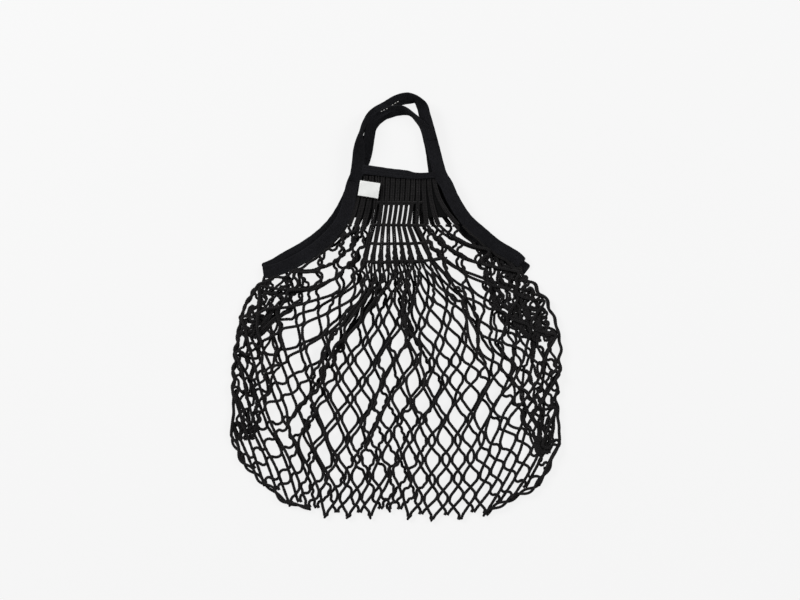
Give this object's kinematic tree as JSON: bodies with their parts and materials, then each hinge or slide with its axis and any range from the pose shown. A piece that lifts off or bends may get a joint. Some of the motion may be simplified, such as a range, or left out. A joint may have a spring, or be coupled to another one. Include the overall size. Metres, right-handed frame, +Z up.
{
  "type": "string shopping bag",
  "caption": "Lying net shopping bag: front and back diamond netting under ribbed yokes, with hems and one tape per side that binds the armhole and forms the handle.",
  "frame": {"origin": "on the surface the bag lies on, under the middle of its outline", "axes": "+X to the right seen from the front panel's side, +Y from the bottom seam to the handles, +Z up from the surface through back panel and front panel"},
  "size_m": [0.3962, 0.5132, 0.0171],
  "materials": {
    "cord_cotton": "black knitted cotton cord, matt",
    "tape_cotton": "black ribbed cotton tape, matt",
    "label_cloth": "off-white woven label, plain"
  },
  "bodies": {
    "root": {"front_net": "cord_cotton", "back_net": "cord_cotton", "front_yoke": "cord_cotton", "back_yoke": "cord_cotton", "front_hem": "tape_cotton", "back_hem": "tape_cotton", "front_tape": "tape_cotton", "back_tape": "tape_cotton", "label": "label_cloth"}
  },
  "joints": []
}
